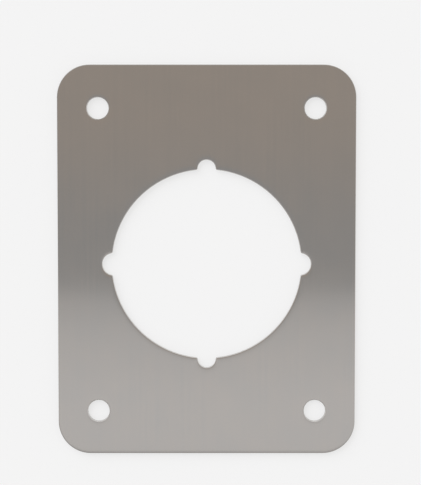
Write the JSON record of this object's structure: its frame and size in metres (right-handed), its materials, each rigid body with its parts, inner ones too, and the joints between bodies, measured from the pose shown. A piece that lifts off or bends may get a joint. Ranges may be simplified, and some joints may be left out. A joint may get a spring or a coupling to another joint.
{
  "type": "remodeler plate",
  "caption": "Flat rounded-corner stainless plate with a large lock bore notched at its rim and plain screw holes near its corners, for covering an old lock cut-out on a door.",
  "frame": {"origin": "middle of the plate's back face", "axes": "+Z out of the front face along the bore, +Y up the plate's height, +X across its width"},
  "size_m": [0.0874, 0.1142, 0.0016],
  "materials": {
    "satin_stainless": "satin"
  },
  "bodies": {
    "root": {"remodeler_plate": "satin_stainless"}
  },
  "joints": []
}
